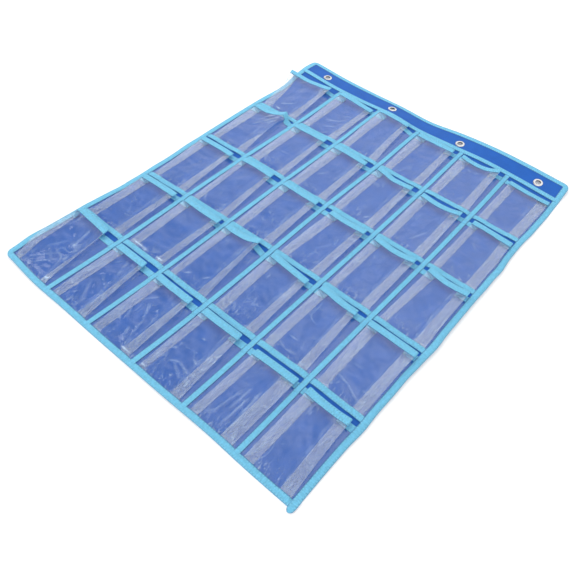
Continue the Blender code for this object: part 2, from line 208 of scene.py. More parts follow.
# Sharp creases in the fronts, by row and column: their two ends as the camera sees them, in mm
# from the sheet's left and top edges, and their strength, which sets their height and painted
# highlight
CREASES = {
    (1, 1): ((36, 179, 60, 159, 1), (64, 66, 76, 92, 0.8), (30, 60, 12, 84, 0.5),
        (36, 197, 48, 196, 2.4), (16, 196, 26, 193, 1.4)),
    (1, 2): ((147, 161, 182, 130, 0.9), (157, 181, 182, 160, 0.8), (168, 122, 181, 107, 0.7)),
    (1, 5): ((468, 88, 478, 96, 0.6), (484, 94, 492, 86, 0.6), (462, 112, 470, 102, 0.5)),
    (2, 1): ((44, 246, 60, 222, 1), (56, 252, 72, 226, 0.9), (66, 258, 80, 236, 0.7),
        (48, 236, 55, 224, 0.8), (40, 284, 56, 252, 0.8)),
    (2, 2): ((130, 324, 136, 342, 0.9), (135, 338, 147, 357, 0.9), (138, 310, 176, 306, 0.4)),
    (2, 3): ((249, 350, 256, 361, 0.6), (275, 350, 280, 361, 0.6)),
    (2, 4): ((392, 355, 403, 344, 0.9),),
    (2, 5): ((506, 304, 489, 344, 0.8),),
    (2, 6): ((580, 270, 598, 288, 0.5),),
    (3, 1): ((70, 506, 77, 522, 0.7),),
    (3, 2): ((132, 506, 140, 522, 0.8), (175, 516, 182, 505, 0.8)),
    (3, 3): ((284, 504, 292, 519, 0.7), (250, 520, 262, 513, 0.5)),
    (3, 4): ((378, 478, 396, 452, 0.4), (396, 512, 404, 498, 0.6)),
    (4, 2): ((122, 683, 168, 686, 3), (187, 684, 204, 685, 3), (172, 682, 186, 672, 0.8),
        (140, 575, 152, 584, 0.4)),
    (4, 3): ((248, 678, 259, 667, 1.1), (281, 666, 291, 655, 1)),
    (4, 4): ((344, 672, 362, 668, 0.8),),
    (4, 5): ((462, 674, 478, 680, 0.9), (478, 680, 500, 678, 0.9), (468, 655, 484, 655, 0.8)),
    (4, 6): ((568, 661, 590, 665, 0.9), (590, 665, 622, 682, 1), (574, 628, 592, 628, 0.5),
        (612, 660, 622, 661, 0.7)),
    (5, 1): ((51, 720, 57, 746, 1.2), (56, 742, 63, 772, 1.2), (24, 834, 58, 786, 0.6),
        (40, 836, 68, 800, 0.6), (30, 790, 62, 812, 0.5), (86, 842, 95, 836, 3),
        (46, 760, 26, 796, 0.5), (84, 838, 98, 845, 2.4)),
    (5, 2): ((146, 790, 172, 836, 0.6), (170, 822, 171, 850, 0.6), (162, 726, 165, 742, 0.9),
        (168, 744, 171, 758, 0.9), (148, 770, 176, 786, 0.4), (143, 742, 152, 728, 0.5)),
    (5, 3): ((256, 760, 276, 792, 0.9), (275, 788, 284, 824, 0.9), (243, 786, 251, 806, 0.9),
        (244, 762, 258, 740, 0.9), (268, 812, 276, 830, 1), (240, 812, 246, 812, 1.2),
        (288, 845, 309, 846, 2.8)),
    (5, 4): ((360, 814, 378, 805, 1), (375, 805, 404, 814, 1), (370, 811, 398, 827, 0.9),
        (390, 788, 399, 793, 1.2), (347, 794, 355, 790, 1.2), (370, 751, 376, 751, 1.1),
        (340, 744, 348, 736, 0.9), (381, 828, 385, 832, 1.2), (333, 845, 346, 846, 2.4)),
    (5, 5): ((488, 766, 487, 814, 1.1), (497, 778, 494, 846, 1.2), (503, 760, 509, 838, 1.2),
        (481, 772, 471, 838, 0.7)),
}
# Rise in mm of each row's whole mouth, its pleats too, at both edges and at each column tape
MOUTH_RISE = {1: (-6, -5.5, 0, 0, 0, 0, 0), 2: (-2, -2, -0.5, -2, -1.5, -1, -1.5),
              3: (1, 1, 1, 3.5, 3, 3, 2), 4: (2, 4.5, 2, 2, 2, 5, 3), 5: (2.5,) * 7}

# Grommets
GROMMET_BORE = 5.2 * MM
GROMMET_SIDES = 40
# Their outlines in mm: out from the bore, and up from the cloth's face or for the washer the floor
EYELET = ((0, 0.7), (0.35, 1.15), (1.1, 1.5), (2.1, 1.55), (3.2, 1.25), (4.3, 0.7), (4.15, 0.3),
          (4.3, 0.12), (4.2, 0), (4.2, 0.35), (2.1, 1.2), (0.35, 0.7))
WASHER = ((0.35, 0.15), (1.2, -0.05), (2, 0.1), (3.3, 0.1), (3.7, 0.3), (3.3, 0.38), (0.35, 0.38))
CLOTH_HOLE = 7.0 * MM
# How far in mm each was set off its place, to the right and to the top
GROMMET_SHIFT = ((6.5, -4), (0.5, 0), (-0.5, -5), (-3, -3.6))

# Colours, linear
CLOTH_BLUE = (0.004, 0.112, 0.495, 1)
TAPE_TEAL = (0.175, 0.56, 0.815, 1)
THREAD_TEAL = (0.36, 0.78, 0.95, 1)
# painted shade: the dark blue along the tapes' edges, where the gap beside each tape lies in shadow
EDGE_SHADE_BLUE = (0.03, 0.09, 0.31, 1)
FILM_TINT = (0.985, 0.988, 0.995, 1)
# the haze's colour, also used for the painted highlights on creases and ridges
HAZE_AND_GLINT_BLUE = (0.56, 0.75, 1.0, 1)
NICKEL = (0.80, 0.79, 0.78, 1)
# painted shade inside the grommets' barrels
BARREL_SHADE_GREY = (0.12, 0.12, 0.13, 1)
GROUND_WHITE = (0.86, 0.86, 0.87, 1)
WHITE = (1, 1, 1, 1)
FILM_IOR = 1.5

# Cloth and tape patterns
WEAVE_PITCH = 1.3 * MM
RIB_PITCH = 3.1 * MM
CORD_PITCH = 1.9 * MM
STITCH_LINE = 3.9 * MM  # from the tape's middle
STITCH_PITCH = 4.7 * MM
STITCH_SHARE = 0.62

# Light and camera
GROUND_SIZE = 6.0
GROUND_LEVEL = -0.3 * MM
GROUND_GLOW = 0.27
WORLD_LIGHT = 0.88
BRIGHT_SIDE = (-0.3, -0.95, 0.0)  # of what lights matt surfaces
# Name, place, size, power, and whether it shows in mirroring surfaces
LIGHTS = (("left_glint", (-1.6, -0.2, 1.4), 0.3, 0.4, True),
          ("right_glint", (0.55, 0.2, 2.1), 0.3, 0.4, True),
          ("back_fill", (-1.2, 0.8, 1.6), 2.0, 17, False))
CAMERA_PLACE = (0.4814, -0.6741, 0.7836)
CAMERA_AIM = (0.0768, -0.1497, 0.0)
CAMERA_ROLL = 3.73
CAMERA_LENS = 38.0


def mixed(low, high, share):
    return low + (high - low) * share


def soften(values, axis=0, times=1):
    """Draws all values but the ends towards their neighbours along an axis, in place."""
    line = np.moveaxis(values, axis, 0)
    for _ in range(times):
        line[1:-1] = line[1:-1] / 2 + (line[:-2] + line[2:]) / 4


def run_along(points):
    """Length of a line of points from its first to each."""
    return np.cumsum(np.linalg.norm(np.diff(points, axis=0, prepend=points[:1]), axis=1))


def uv_pairs(u, v):
    return np.stack(np.broadcast_arrays(u, v), -1)


def weights(t):
    """The four weights of a smooth curve between its two middle points."""
    return (-0.5 * t + t**2 - 0.5 * t**3, 1 - 2.5 * t**2 + 1.5 * t**3,
            0.5 * t + 2 * t**2 - 1.5 * t**3, -0.5 * t**2 + 0.5 * t**3)


def read_table(table, x, y):
    """Smooth reading, in metres, of a table in mm that covers the sheet."""
    rows, columns = table.shape
    across = np.clip((x + HALF_WIDTH) / (2 * HALF_WIDTH), 0, 1) * (columns - 1)
    stations = np.array(FOLD_ROWS) * MM + BOTTOM
    up = np.interp(y, stations, np.arange(rows))
    i, j = np.minimum(up.astype(int), rows - 2), np.minimum(across.astype(int), columns - 2)
    total = 0
    for step_up, weight_up in zip(range(-1, 3), weights(up - i)):
        row = np.clip(i + step_up, 0, rows - 1)
        for step_across, weight_across in zip(range(-1, 3), weights(across - j)):
            column = np.clip(j + step_across, 0, columns - 1)
            total = total + weight_up * weight_across * table[row, column]
    return total * MM


def fold_slope(x, y, step_x, step_y):
    """Slope of the folds in one direction."""
    ahead = read_table(FOLD_HEIGHTS, x + step_x, y + step_y)
    behind = read_table(FOLD_HEIGHTS, x - step_x, y - step_y)
    return (ahead - behind) / (2 * SLOPE_STEP)


def side_bulge(x, y):
    """Drift to the right, in metres, by the bulges of the two side edges."""
    near = np.clip((np.abs(x) - HALF_WIDTH) / BULGE_REACH + 1, 0, 1.2) ** 2
    total = 0
    for side, bulges in ((-1, LEFT_BULGES), (1, RIGHT_BULGES)):
        for from_top, outwards in bulges:
            away = (TOP - y - from_top * MM) / BULGE_LENGTH
            total = total + side * outwards * MM * np.exp(-(away**2)) * (x * side > 0)
    return total * near


def lie(flat):
    """Lays flat points, with their heights above the floor side of the sheet, on its folds."""
    x, y, h = flat[..., 0], flat[..., 1], flat[..., 2]
    right = read_table(DRIFT_RIGHT, x, y) + side_bulge(x, y) - fold_slope(x, y, SLOPE_STEP, 0) * h
    up = read_table(DRIFT_UP, x, y) - fold_slope(x, y, 0, SLOPE_STEP) * h
    return np.stack([x + right, y + up, np.maximum(read_table(FOLD_HEIGHTS, x, y), 0) + h], -1)


def made_mesh(name, points, faces, uv, material, smooth_angle=50, marks=None):
    """A mesh object from points, faces and, for each point, one UV pair in metres and its marks."""
    mesh = bpy.data.meshes.new(name)
    mesh.from_pydata(points.reshape(-1, 3).tolist(), [], faces)
    layer = mesh.uv_layers.new(name="flat")
    corner = np.empty(len(mesh.loops), dtype=np.int32)
    mesh.loops.foreach_get("vertex_index", corner)
    layer.data.foreach_set("uv", uv.reshape(-1, 2).astype(np.float32)[corner].ravel())
    for mark, values in (marks or {}).items():
        values = np.asarray(values, dtype=np.float32).ravel()
        mesh.attributes.new(mark, "FLOAT", "POINT").data.foreach_set("value", values)
    mesh.shade_smooth()
    mesh.set_sharp_from_angle(angle=math.radians(smooth_angle))
    made = bpy.data.objects.new(name, mesh)
    made.data.materials.append(material)
    bpy.context.scene.collection.objects.link(made)
    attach(made, "root")
    return made


def grid_faces(rows, columns, around=False, along=False):
    """Quads over a grid of points, joined round in either direction."""
    faces = []
    for i in range(rows - (not along)):
        a, b = i * columns, (i + 1) % rows * columns
        for j in range(columns - (not around)):
            k = (j + 1) % columns
            faces.append((a + j, a + k, b + k, b + j))
    return faces


def swept(name, parts, material, closed=False, smooth_angle=50):
    """Solid strips in one mesh, each from rings of points, their UVs and how dark each line's painted
    shade is.

    The first strip is joined into a ring if closed.
    """
    points, faces, uvs, darks = [], [], [], []
    for rings, uv, dark in parts:
        start = sum(len(part) for part in points)
        rows, columns = rings.shape[:2]
        own = grid_faces(rows, columns, around=True, along=closed)
        if not closed:
            own.append(tuple(range(columns))[::-1])
            own.append(tuple(range((rows - 1) * columns, rows * columns)))
        faces += [tuple(start + k for k in face) for face in own]
        points.append(rings.reshape(-1, 3))
        uvs.append(uv.reshape(-1, 2))
        darks.append(np.broadcast_to(dark, (rows, columns)).ravel())
        closed = False
    return made_mesh(name, np.concatenate(points), faces, np.concatenate(uvs), material,
                     smooth_angle, {"dark": np.concatenate(darks)})


def wander(x, seed, size):
    """Smooth noise along a line."""
    rng = np.random.default_rng(seed)
    total = 0
    for k in range(1, 5):
        total = total + np.sin(x / size * k + rng.uniform(0, 6.3)) / k
    return total / 2 * TAPE_WANDER


def crumple(across, along, seed):
    """Sharp-edged dents in metres, as in film that was folded and pressed flat."""
    rng = np.random.default_rng(seed)
    total = 0
    for size in (60 * MM, 37 * MM, 23 * MM, 14 * MM):
        for _ in range(3):
            angle, start, one, two = rng.uniform(0, 6.3, 4)
            run = across * math.cos(angle) + along * math.sin(angle)
            side = along * math.cos(angle) - across * math.sin(angle)
            bend = 0.4 * np.sin(side / size + one)
            saw = np.abs((run / size + bend + start) % 1 * 2 - 1) * 2 - 1
            patch = 0.5 + 0.5 * np.sin(side / size / 1.7 + two) * np.sin(run / size / 2.1 + one)
            total = total + saw * patch * size / 4
    return total


def plateau(x, low, high, ramp):
    """1 between low and high and 0 outside, with smooth ramps."""
    up = np.clip((x - low) / ramp + 1, 0, 1)
    down = np.clip((high - x) / ramp + 1, 0, 1)
    share = np.minimum(up, down)
    return share * share * (3 - 2 * share)


# Places of the seams
column_boxes = [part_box(f"column_tape_{n}") for n in range(1, COLUMNS)]
tape_centres = [(low.x + high.x) / 2 for low, high in column_boxes]
column_half = (column_boxes[0][1].x - column_boxes[0][0].x) / 2
seam_left = [-HALF_WIDTH + EDGE_WIDTH] + [x + column_half for x in tape_centres]
seam_right = [x - column_half for x in tape_centres] + [HALF_WIDTH - EDGE_WIDTH]


def row_places(row):
    """Y of a row's film edge, bottom seam and mouth."""
    low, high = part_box(f"mouth_binding_{row}")
    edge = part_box(f"pocket_strip_{row}")[0].y
    seam = BOTTOM + EDGE_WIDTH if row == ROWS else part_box(f"row_tape_{row}")[1].y
    return edge, seam, high.y


def fold_margin(column, side):
    """From a pocket's seam to its open fold, at its left (side 0) or right (side 1)."""
    return LAST_MARGIN if (column, side) == (COLUMNS, 1) else SEAM_MARGIN


def over_stacks(x):
    """1 over each stack of pleats in the bottom seams and 0 between them."""
    starts = []
    for column in range(1, COLUMNS + 1):
        starts.append(seam_left[column - 1] + fold_margin(column, 0))
        starts.append(seam_right[column - 1] - fold_margin(column, 1) - PLEAT_DEPTH)
    return sum(plateau(x, start, start + PLEAT_DEPTH, STACK_RAMP) for start in starts)


def over_crossings(y, at_seam):
    """1 over each bound mouth, at_seam over each row tape and 0 between them."""
    total = 0
    for row in range(1, ROWS + 1):
        _, seam, mouth = row_places(row)
        total = total + plateau(y, mouth - TAPE_WIDTH, mouth, CROSSING_RAMP)
        if row < ROWS:
            total = total + at_seam * plateau(y, seam - TAPE_WIDTH, seam, CROSSING_RAMP)
    return total


def film_levels(rise):
    """Height of the film's lowest layer, the pitch of its layers, and its top layer's height."""
    base, pitch = mixed(*FILM_BASE, rise), mixed(*FILM_PITCH, rise)
    return base, pitch, base + 2 * pitch


def lift_share(run, length):
    """How far the front stands off the sheet, at a run above its bottom seam."""
    return 1 - (1 - np.clip(run / length, 0, 1)) ** 1.5


def straighten(points, opened):
    """Draws a pleat's points to the line between its ends, as far as the pleat has opened."""
    (first_x, first_h, _), (last_x, last_h, _) = points[1], points[-1]
    for k in range(2, len(points) - 1):
        share = (k - 1) / (len(points) - 2)
        x, h, steps = points[k]
        x = mixed(x, mixed(first_x, last_x, share), opened)
        points[k] = (x, mixed(h, mixed(first_h, last_h, share), opened), steps)


def pleat(own, column, side, rise, lift):
    """Points of a pocket's left (side 0) or right (side 1) pleat, its fold's place and its depth."""
    sign = 1 - 2 * side
    base, pitch, low = film_levels(rise)
    edge = (seam_left, seam_right)[side][column - 1] + 0 * rise
    tuck = TUCK if (column, side) in ((1, 0), (COLUMNS, 1)) else column_half
    top = mixed(low, np.maximum(own.lift[2 * side] * MM, low), lift)
    margin = fold_margin(column, side)
    outer = edge + sign * margin + own.shift[side] * MM * rise
    if side == 0:
        outer = outer - own.bulge * MM * np.sin(math.pi * rise)
    reach = outer + sign * PLEAT_DEPTH * PLEAT_SLACK
    followed = mixed(edge + sign * (margin + PLEAT_DEPTH), reach, PLEAT_FOLLOWS)
    inner = np.maximum(reach, followed) if side else np.minimum(reach, followed)
    inner = inner - sign * mixed(*(own.tucked, own.tucked_right)[side], rise) * MM
    turn = sign * mixed(*FOLD_TURN, rise) * MM
    # X, height, and the points up to the next of them
    points = [
        (edge - sign * (tuck - 0.3 * MM), base, 2),
        (edge + sign * 1 * MM, base, 8),
        (inner - sign * INNER_TURN, base, 2),
        (inner, base + 0.5 * pitch, 2),
        (inner - sign * INNER_TURN, base + pitch, 8),
        (outer + turn, top - pitch, 2),
        (outer + sign * 0.1 * MM, top - 0.75 * pitch, 2),
        (outer, top - 0.4 * pitch, 3),
        (outer + turn, top, 0),
    ]
    straighten(points, own.opened[side] * rise**2)
    path = [(mixed(x1, x2, k / steps), mixed(h1, h2, k / steps))
            for (x1, h1, steps), (x2, h2, _) in zip(points, points[1:]) for k in range(steps)]
    return path, points[-1][:2], np.abs(inner - outer)


def open_front(own, run, rise, lift, left_fold, right_fold):
    """Shares across a pocket's front, and its points there between the two open folds."""
    base, _, low = film_levels(rise)
    (left_x, left_h), (right_x, right_h) = left_fold, right_fold
    middle = mixed(low, np.maximum(own.lift[1] * MM, low), lift)
    shares = (1 - np.cos(np.linspace(0, math.pi, FRONT_POINTS + 1))) / 2
    shares = mixed(shares, np.linspace(0, 1, FRONT_POINTS + 1), 0.35)
    points = []
    for t in shares:
        from_end = np.minimum(t, 1 - t) * (right_x - left_x)
        floor = mixed(low, base, np.clip((from_end - PLEAT_DEPTH) / FLOOR_RAMP, 0, 1))
        lifted = (1 - t) * (1 - 2 * t) * left_h + 4 * t * (1 - t) * middle
        lifted = mixed(floor, lifted + t * (2 * t - 1) * right_h, np.clip(run / HEM_RUN, 0, 1))
        points.append((mixed(left_x, right_x, t), np.maximum(lifted, floor)))
    return shares, points


def mouth_bow(own, shares, count):
    """Rise in mm of the points across a pocket's mouth, and which are its front.

    Each pleat has count points.
    """
    t = np.concatenate([np.zeros(count), shares, np.ones(count)])
    bow = np.interp(t, np.linspace(0, 1, len(own.rise)), own.rise)
    soften(bow, times=3)
    fade = np.ones(len(t))
    fade[:count] = np.clip((np.arange(count) - FLAT_POINTS) / (count - FLAT_POINTS), 0, 1)
    fade[-count:] = fade[:count][::-1]
    towards_fold = np.clip((np.arange(count)[::-1] - 2) / 10, 0, 1)
    bow = bow * fade
    bow[-count:] += (own.flap + own.inner * towards_fold) * (1 - fade[-count:])
    return bow, fade > 0.98


def pocket_path(row, column, y):
    """X, Y and height of the points across one pocket's film at each height y of the sheet.

    Then which are its front, the share up to the mouth, the top layer's height, the pleats' depths.
    """
    own = POCKETS[row, column]
    _, seam, mouth = row_places(row)
    run = np.maximum(y - seam, 0)
    rise = np.clip(run / (mouth - seam), 0, 1)
    lift = lift_share(run, mouth - seam)
    left, left_fold, left_depth = pleat(own, column, 0, rise, lift)
    right, right_fold, right_depth = pleat(own, column, 1, rise, lift)
    shares, across = open_front(own, run, rise, lift, left_fold, right_fold)
    x, h = (np.stack(part, 1) for part in zip(*left, *across, *right[::-1]))
    soften(x, 1)
    soften(h, 1)
    bow, front = mouth_bow(own, shares, len(left))
    whole = np.interp(x[-1], [-HALF_WIDTH, *tape_centres, HALF_WIDTH], MOUTH_RISE[row])
    up = y[:, None] + (whole + bow) * MM * rise[:, None] ** 1.5
    return x, up, h, front, rise, film_levels(rise)[2], (left_depth, right_depth)


def fold_share(x, front, depths):
    """How creased a pocket's film is: 1 in the pleats and less in the front; low on the flaps at the
    seams, which takes haze off them as painted shade beside the pleats.
    """
    share = np.zeros(x.shape)
    for end, depth in zip(np.flatnonzero(front)[[0, -1]], depths):
        away = np.abs(x - x[:, end:end + 1]) - depth[:, None]
        share = np.maximum(share, 0.75 * np.clip(1 - away / (4 * MM), 0, 1))
    place = np.arange(x.shape[1])
    from_seam = np.minimum(place, place[::-1])
    # the flaps by the seams get a low share, which thins their haze as painted shade beside the pleats
    return np.where(front, share, np.clip((from_seam - 2) / 9, 0.15, 1))


def seen_place(row, column, x, y):
    """Flat place in a pocket's front that the camera sees at x and y, in mm from left and top."""
    _, seam, mouth = row_places(row)
    camera = np.array(CAMERA_PLACE)
    wanted = np.array([x * MM - HALF_WIDTH, TOP - y * MM])
    flat = wanted.copy()
    for _ in range(5):
        lift = lift_share(flat[1] - seam, mouth - seam) * POCKETS[row, column].lift[1] * MM
        laid = lie(np.array([*flat, FACE + lift]))
        seen = camera + (laid - camera) * camera[2] / (camera[2] - laid[2])
        flat += wanted - seen[:2]
    return flat


@functools.cache
def crease_ends(row, column):
    """Flat ends and strength of each of a pocket's sharp creases."""
    return [(seen_place(row, column, x1, y1), seen_place(row, column, x2, y2), strength)
            for x1, y1, x2, y2, strength in CREASES.get((row, column), ())]


def crease_ridges(row, column, x, y):
    """Ridges of a pocket's sharp creases at flat points: 0 away from them, their strength on them."""
    ridges = np.zeros(x.shape)
    for start, end, strength in crease_ends(row, column):
        reach = end - start
        share = ((x - start[0]) * reach[0] + (y - start[1]) * reach[1]) / (reach @ reach)
        share = np.clip(share, 0, 1)
        away = np.hypot(x - start[0] - share * reach[0], y - start[1] - share * reach[1])
        fade = (4 * share * (1 - share)) ** 0.5
        ridges = np.maximum(ridges, strength * fade * np.exp(-(away / RIDGE_WIDTH) ** 2))
    return ridges


def film_rows(row, y):
    """Flat points of a row's whole film at each height y, its ridges and how creased it is."""
    parts = []
    for column in range(1, COLUMNS + 1):
        x, up, h, front, rise, low, depths = pocket_path(row, column, y)
        folded = fold_share(x, front, depths)
        run = np.cumsum(np.hypot(np.diff(x[-1], prepend=0), np.diff(h[-1], prepend=0)))
        dents = crumple(run[None, :], y[:, None], 100 * row + column)
        ends = np.sin(math.pi * rise) ** 0.5 * 0.85 + 0.1 * rise
        strength = DENT_DEPTH * POCKETS[row, column].crumple * (1 - folded) * ends[:, None]
        ridges = crease_ridges(row, column, x, up) * front
        dented = h + dents * strength + np.minimum(ridges * MM, RIDGE_LIMIT)
        h = np.where(front, np.maximum(dented, np.minimum(h, low[:, None])), h)
        parts.append((x, up, h + FACE, ridges, folded))
    x, up, h, ridges, folded = (np.concatenate(part, 1) for part in zip(*parts))
    return np.stack([x, up, h], -1), ridges, folded


def pocket_strip(row):
    """One row's clear film, its pleats and its dents."""
    edge, seam, mouth = row_places(row)
    y = np.concatenate([np.linspace(edge, seam, 4)[:-1],
                        np.linspace(seam, mouth - 1 * MM, FILM_ROWS)])
    flat, ridges, folded = film_rows(row, y)
    laid = lie(flat)
    along = run_along(laid[-1])
    shape = folded.shape
    crumpled = [POCKETS[row, column].crumple / 3 for column in range(1, COLUMNS + 1)]
    hem = np.exp(-np.maximum(y - seam, 0) / HEM_FADE)
    marks = {"crease": np.broadcast_to(np.repeat(crumpled, shape[1] // COLUMNS), shape),
             "ridge": ridges, "folded": folded, "hem": np.broadcast_to(hem[:, None], shape)}
    made = made_mesh(f"film_row_{row}", laid, grid_faces(*shape), uv_pairs(along, y[:, None]),
                     clear_film, 180, marks)
    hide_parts(f"pocket_strip_{row}")


def mouth_binding(row):
    """The tape folded over the film's top edge, which follows all its pleats."""
    low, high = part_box(f"mouth_binding_{row}")
    depth = 1.09 * (high.y - low.y)
    half, slot, top = BINDING_HALF, 0.15 * MM, 0.7 * MM
    # Distance from the film and drop below the mouth
    leaf = [(0.9 * half, -depth), (half, 1 * MM - depth), (half, -top), (0.6 * half, -0.2 * MM)]
    profile = leaf + [(0, 0)] + [(-away, drop) for away, drop in leaf[::-1]]
    profile += [(-slot, -depth), (-slot, -top), (slot, -top), (slot, -depth)]
    drops = np.array([drop for _, drop in profile])
    levels, where = np.unique(drops, return_inverse=True)
    laid = lie(film_rows(row, high.y + levels)[0])
    across = np.gradient(laid, axis=1)
    up = np.gradient(laid, high.y + levels, axis=0)
    normal = np.cross(across, up)
    normal /= np.linalg.norm(normal, axis=-1, keepdims=True)
    soften(normal, 1, 2)
    rings = np.stack([laid[k] + normal[k] * away for k, (away, _) in zip(where, profile)], 1)
    uv = uv_pairs(run_along(laid[-1])[:, None], drops + depth / 2)
    # the lower edges of both leaves carry painted shade
    made = swept(f"mouth_tape_{row}", [(rings, uv, 0.6 * (drops <= -depth))], tape_material)
    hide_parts(f"mouth_binding_{row}")


def tape_rings(line, width, heights, dark=1.0):
    """Rings, UVs and dark lines of painted shade of a flat tape along a line of flat points."""
    reach, thick, shade = np.array(TAPE_SECTION).T
    half = np.broadcast_to(width, len(line))[:, None] / 2
    ahead = np.gradient(line, axis=0)
    ahead /= np.linalg.norm(ahead, axis=1, keepdims=True)
    side = np.stack([ahead[:, 1], -ahead[:, 0]], -1)
    one_side = np.minimum(reach * MM - half, 0)
    aways = np.hstack([one_side, 0 * half, -one_side[:, ::-1], 0 * half])
    flat = np.empty((*aways.shape, 3))
    flat[..., :2] = line[:, None] + side[:, None] * aways[..., None]
    ups = TAPE * np.array([*thick, TAPE_MIDDLE, *thick[::-1], 0])
    flat[..., 2] = FACE + heights[:, None] + ups
    uv = uv_pairs(run_along(line)[:, None], aways)
    return lie(flat), uv, dark * np.array([*shade, 0, *shade[::-1], 0])


def tape(name, line, width, heights, node, dark=1.0):
    """A flat sewn tape along a line of flat points, at heights above the sheet's face, with painted
    shade along its edges.
    """
    made = swept(name, [tape_rings(line, width, heights, dark)], tape_material)
    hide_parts(node)


def row_tape(row):
    """The tape over a row's bottom seam, raised a little over each stack of pleats."""
    low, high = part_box(f"row_tape_{row}")
    x = np.linspace(low.x, high.x, 320)
    heights = ROW_TAPE_BASE + STACK_RISE * over_stacks(x)
    line = np.stack([x, (low.y + high.y) / 2 + wander(x, row, 90 * MM)], -1)
    # 0.45: fainter painted shade along its edges
    tape(f"seam_tape_row_{row}", line, TAPE_WIDTH, heights, f"row_tape_{row}", 0.45)


def column_tape(number):
    """The tape between two columns, raised where it crosses a seam or a bound mouth."""
    low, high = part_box(f"column_tape_{number}")
    y = np.linspace(low.y, high.y + 4 * MM, 400)
    heights = COLUMN_TAPE_BASE + MOUTH_RISE_OVER * over_crossings(y, 0.75)
    line = np.stack([tape_centres[number - 1] + wander(y, 40 + number, 120 * MM), y], -1)
    tape(f"seam_tape_column_{number}", line, 2 * column_half, heights, f"column_tape_{number}")


def header_tape():
    """The tape over the header's lower seam, on both layers of cloth."""
    x = np.linspace(header_low.x, header_high.x, 320)
    line = uv_pairs(x, HEADER_LINE)
    # 0.45: fainter painted shade along its edges
    tape("header_seam_tape", line, TAPE_WIDTH, HEADER_TAPE_BASE + 0 * x, "header_tape", 0.45)


def outline(spacing=2.5 * MM):
    """Flat points and outward directions round the sheet, counter-clockwise from the right."""
    radius = CORNER_RADIUS
    across, up = HALF_WIDTH - radius, TOP - radius
    points, outward = [], []
    corners = [np.array(corner) for corner in ((across, up), (-across, up), (-across, -up),
                                               (across, -up))]
    for number, corner in enumerate(corners):
        for k in range(9):
            angle = (number + k / 8) * math.pi / 2
            outward.append(np.array([math.cos(angle), math.sin(angle)]))
            points.append(corner + radius * outward[-1])
        start, end = points[-1], corners[(number + 1) % 4] + radius * outward[-1]
        steps = int(np.linalg.norm(end - start) / spacing)
        for k in range(1, steps):
            points.append(mixed(start, end, k / steps))
            outward.append(outward[-1])
    return np.array(points), np.array(outward)


def binding_end():
    """The end of the binding, which passes the bottom corner on the right."""
    y = np.linspace(BOTTOM + 1.3 * EDGE_WIDTH, BOTTOM - 5.5 * MM, 26)
    beyond = np.clip((BOTTOM + 3 * MM - y) / (8.5 * MM), 0, 1)
    width = EDGE_WIDTH * np.sqrt(1 - 0.9 * beyond**2)
    x = HALF_WIDTH + 0.5 * MM - 0.35 * EDGE_WIDTH - 0.15 * width
    heights = 0.7 * MM - 0.5 * MM * beyond
    # 0.6: painted shade along its edges
    return tape_rings(np.stack([x, y], -1), width, heights, 0.6)


def edge_binding():
    """The tape folded round the sheet's edge, one ring, raised over the ends of the mouths."""
    points, outward = outline()
    rise = over_crossings(points[:, 1], 0.6) * (np.abs(outward[:, 0]) > 0.99)
    rise = rise + over_stacks(points[:, 0]) * (outward[:, 1] < -0.99)
    header = plateau(points[:, 1], HEADER_LINE, TOP, 4 * MM)
    base = FACE + EDGE_TAPE_BASE + 0.6 * MM * header
    inner = STACK_RISE * rise
    top = base + inner
    width = EDGE_WIDTH
    # From the front leaf's inner edge round to the back leaf: inset, height, and how dark, as painted
    # shade at the inner edge and round the outer fold
    profile = (
        (width, top, 0.9), (width - 0.3 * MM, top + 0.9 * TAPE, 0.9),
        (width - 1.5 * MM, top + 0.75 * TAPE, 0.2), (width - 2.2 * MM, top + 1.15 * TAPE, 0),
        (width / 2, base + 0.8 * inner + 1.2 * TAPE, 0), (1.2 * MM, base + TAPE, 0.1),
        (0.3 * MM, base - 0.1 * MM, 0.5), (0, base / 2, 0.6), (0.3 * MM, 0.2 * MM, 0),
        (1.2 * MM, 0, 0), (width - 1 * MM, 0, 0), (width, 0.1 * MM, 0), (width, 0.3 * MM, 0),
        (1 * MM, 0.35 * MM, 0), (1 * MM, base - 0.1 * MM, 0),
    )
    flat = np.empty((len(points), len(profile), 3))
    for k, (inset, height, _) in enumerate(profile):
        flat[:, k, :2] = points - outward * inset
        flat[:, k, 2] = height
    insets = np.array([inset for inset, _, _ in profile]) - width / 2
    uv = uv_pairs(run_along(points)[:, None], insets)
    ring = lie(flat)[::-1], uv[::-1], [dark for _, _, dark in profile]
    made = swept("edge_tape", [ring, binding_end()], tape_material, closed=True)
    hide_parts("edge_binding")


def grommet_places():
    places = []
    for number, (right, up) in enumerate(GROMMET_SHIFT, start=1):
        low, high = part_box(f"grommet_{number}_eyelet")
        places.append(((low.x + high.x) / 2 + right * MM, (low.y + high.y) / 2 + up * MM))
    return places


